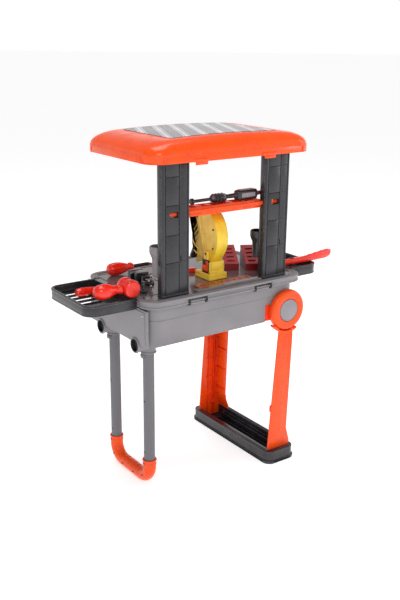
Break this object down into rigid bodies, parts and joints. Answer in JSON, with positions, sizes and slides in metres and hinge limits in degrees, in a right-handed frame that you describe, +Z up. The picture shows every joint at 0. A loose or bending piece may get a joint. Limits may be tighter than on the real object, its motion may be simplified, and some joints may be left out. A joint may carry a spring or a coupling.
{
  "type": "toy workbench",
  "caption": "Toy workbench that unfolds from a wheeled trolley case: grey tub table, orange roof on two posts, side trays, toy saw, vice and loose tools.",
  "frame": {"origin": "middle of the bounding box in plan, at floor height", "axes": "+Z up; +X along the case from the pull-handle legs to the wheels; +Y from the posts towards the child's side"},
  "size_m": [0.6332, 0.294, 0.7209],
  "materials": {
    "grey_shell": "satin mid-grey polypropylene",
    "orange_shell": "glossy orange moulded plastic",
    "black_shell": "glossy black moulded plastic",
    "charcoal_shell": "satin charcoal moulded plastic",
    "yellow_shell": "glossy yellow moulded plastic",
    "red_shell": "glossy red moulded plastic",
    "silver_shell": "silver-grey moulded plastic",
    "steel_rod": "plated steel rod",
    "printed_film": "printed grey film",
    "tube_grey": "satin grey extruded plastic tube"
  },
  "bodies": {
    "case": {"case_tub": "grey_shell", "deck_panel": "grey_shell", "end_bracket": "grey_shell", "channel_liner_near": "black_shell", "channel_liner_far": "black_shell", "wheel_axle": "steel_rod", "wheel_housing_near": "orange_shell", "wheel_housing_far": "orange_shell", "hole_strip": "red_shell", "slotted_board_1": "red_shell", "slotted_board_2": "red_shell", "board_bolt": "black_shell", "saw_base": "yellow_shell", "saw_pin": "red_shell", "vice_base": "black_shell"},
    "near_wheel": {"wheel_near": "orange_shell", "hub_cap_near": "grey_shell"},
    "far_wheel": {"wheel_far": "orange_shell", "hub_cap_far": "grey_shell"},
    "leg_frame": {"leg_arm_near": "orange_shell", "leg_arm_far": "orange_shell", "foot_base": "black_shell"},
    "pull_handle": {"leg_tube_near": "tube_grey", "leg_tube_far": "tube_grey", "handle_grip": "orange_shell"},
    "near_snap_button": {"snap_button_near": "silver_shell"},
    "far_snap_button": {"snap_button_far": "silver_shell"},
    "post_frame": {"post_left": "charcoal_shell", "post_right": "charcoal_shell", "crossbar": "orange_shell", "tool_cup_left": "grey_shell", "tool_cup_right": "grey_shell"},
    "roof": {"roof_lid": "orange_shell", "roof_label": "printed_film"},
    "left_latch": {"lid_latch_1": "orange_shell"},
    "right_latch": {"lid_latch_2": "orange_shell"},
    "left_tray": {"tray_left": "black_shell"},
    "right_tray": {"tray_right": "black_shell"},
    "mallet": {"mallet_head": "red_shell", "mallet_handle": "red_shell"},
    "tray_driver_tool": {"tray_driver": "red_shell"},
    "pliers": {"toy_pliers": "red_shell"},
    "spanner": {"toy_spanner": "silver_shell"},
    "screwdriver": {"screwdriver_handle": "red_shell", "screwdriver_shaft": "silver_shell"},
    "chisel": {"toy_chisel": "red_shell"},
    "nut": {"toy_nut": "silver_shell"},
    "bolt": {"toy_bolt": "black_shell"},
    "rack_tool": {"rack_driver": "black_shell"},
    "saw_arm": {"saw_guard": "yellow_shell", "saw_handle": "black_shell"},
    "saw_disc": {"saw_blade": "silver_shell"},
    "vice_slide": {"vice_jaw": "black_shell"},
    "vice_spindle": {"vice_screw": "silver_shell"}
  },
  "joints": [
    {"name": "near_wheel_spin", "type": "hinge", "parent": "case", "child": "near_wheel", "pos_m": [0.13638, -0.1238, 0.3437], "axis": [0, 1, 0], "continuous": true},
    {"name": "far_wheel_spin", "type": "hinge", "parent": "case", "child": "far_wheel", "pos_m": [0.13638, 0.1238, 0.3437], "axis": [0, 1, 0], "continuous": true},
    {"name": "leg_frame_fold", "type": "hinge", "parent": "case", "child": "leg_frame", "pos_m": [0.13638, 0, 0.3437], "axis": [0, 1, 0], "range_deg": [0, 45]},
    {"name": "pull_handle_slide", "type": "slide", "parent": "case", "child": "pull_handle", "axis": [0, 0, -1], "range_m": [0, 0.035]},
    {"name": "near_button_press", "type": "slide", "parent": "pull_handle", "child": "near_snap_button", "axis": [1, 0, 0], "range_m": [0, 0.003], "stiffness_N_per_m": 300},
    {"name": "far_button_press", "type": "slide", "parent": "pull_handle", "child": "far_snap_button", "axis": [1, 0, 0], "range_m": [0, 0.003], "stiffness_N_per_m": 300},
    {"name": "post_frame_lift", "type": "slide", "parent": "case", "child": "post_frame", "axis": [0, 0, 1], "range_m": [0, 0.02]},
    {"name": "roof_lift", "type": "slide", "parent": "post_frame", "child": "roof", "axis": [0, 0, 1], "range_m": [0, 0.03]},
    {"name": "left_latch_turn", "type": "hinge", "parent": "roof", "child": "left_latch", "pos_m": [-0.09762, -0.1326, 0.6805], "axis": [1, 0, 0], "range_deg": [-90, 0]},
    {"name": "right_latch_turn", "type": "hinge", "parent": "roof", "child": "right_latch", "pos_m": [0.06638, -0.1326, 0.6805], "axis": [1, 0, 0], "range_deg": [-90, 0]},
    {"name": "left_tray_lift", "type": "slide", "parent": "case", "child": "left_tray", "axis": [0, 0, 1], "range_m": [0, 0.03]},
    {"name": "right_tray_lift", "type": "slide", "parent": "case", "child": "right_tray", "axis": [0, 0, 1], "range_m": [0, 0.03]},
    {"name": "mallet_lift", "type": "slide", "parent": "left_tray", "child": "mallet", "axis": [0, 0, 1], "range_m": [0, 0.03]},
    {"name": "tray_driver_lift", "type": "slide", "parent": "left_tray", "child": "tray_driver_tool", "axis": [0, 0, 1], "range_m": [0, 0.015]},
    {"name": "pliers_lift", "type": "slide", "parent": "right_tray", "child": "pliers", "axis": [0, 0, 1], "range_m": [0, 0.03]},
    {"name": "spanner_lift", "type": "slide", "parent": "right_tray", "child": "spanner", "axis": [0, 0, 1], "range_m": [0, 0.03]},
    {"name": "screwdriver_lift", "type": "slide", "parent": "case", "child": "screwdriver", "axis": [0, 0, 1], "range_m": [0, 0.03]},
    {"name": "chisel_lift", "type": "slide", "parent": "case", "child": "chisel", "axis": [0, 0, 1], "range_m": [0, 0.015]},
    {"name": "nut_lift", "type": "slide", "parent": "case", "child": "nut", "axis": [0, 0, 1], "range_m": [0, 0.03]},
    {"name": "bolt_lift", "type": "slide", "parent": "case", "child": "bolt", "axis": [0, 0, 1], "range_m": [0, 0.012]},
    {"name": "rack_tool_lift", "type": "slide", "parent": "post_frame", "child": "rack_tool", "axis": [0, 0, 1], "range_m": [0, 0.03]},
    {"name": "saw_arm_swing", "type": "hinge", "parent": "case", "child": "saw_arm", "pos_m": [-0.00112, -0.043, 0.4705], "axis": [1, 0, 0], "range_deg": [-16, 0]},
    {"name": "saw_disc_spin", "type": "hinge", "parent": "saw_arm", "child": "saw_disc", "pos_m": [-0.00112, -0.024, 0.512], "axis": [1, 0, 0], "continuous": true},
    {"name": "vice_jaw_slide", "type": "slide", "parent": "case", "child": "vice_slide", "axis": [0, 1, 0], "range_m": [0, 0.012]},
    {"name": "vice_screw_turn", "type": "hinge", "parent": "vice_slide", "child": "vice_spindle", "pos_m": [-0.14762, -0.01, 0.4308], "axis": [0, 1, 0], "range_deg": [0, 540]}
  ],
  "couplings": [
    {"joint": "vice_screw_turn", "follows": "vice_jaw_slide", "rad_per_m": 785.4}
  ]
}
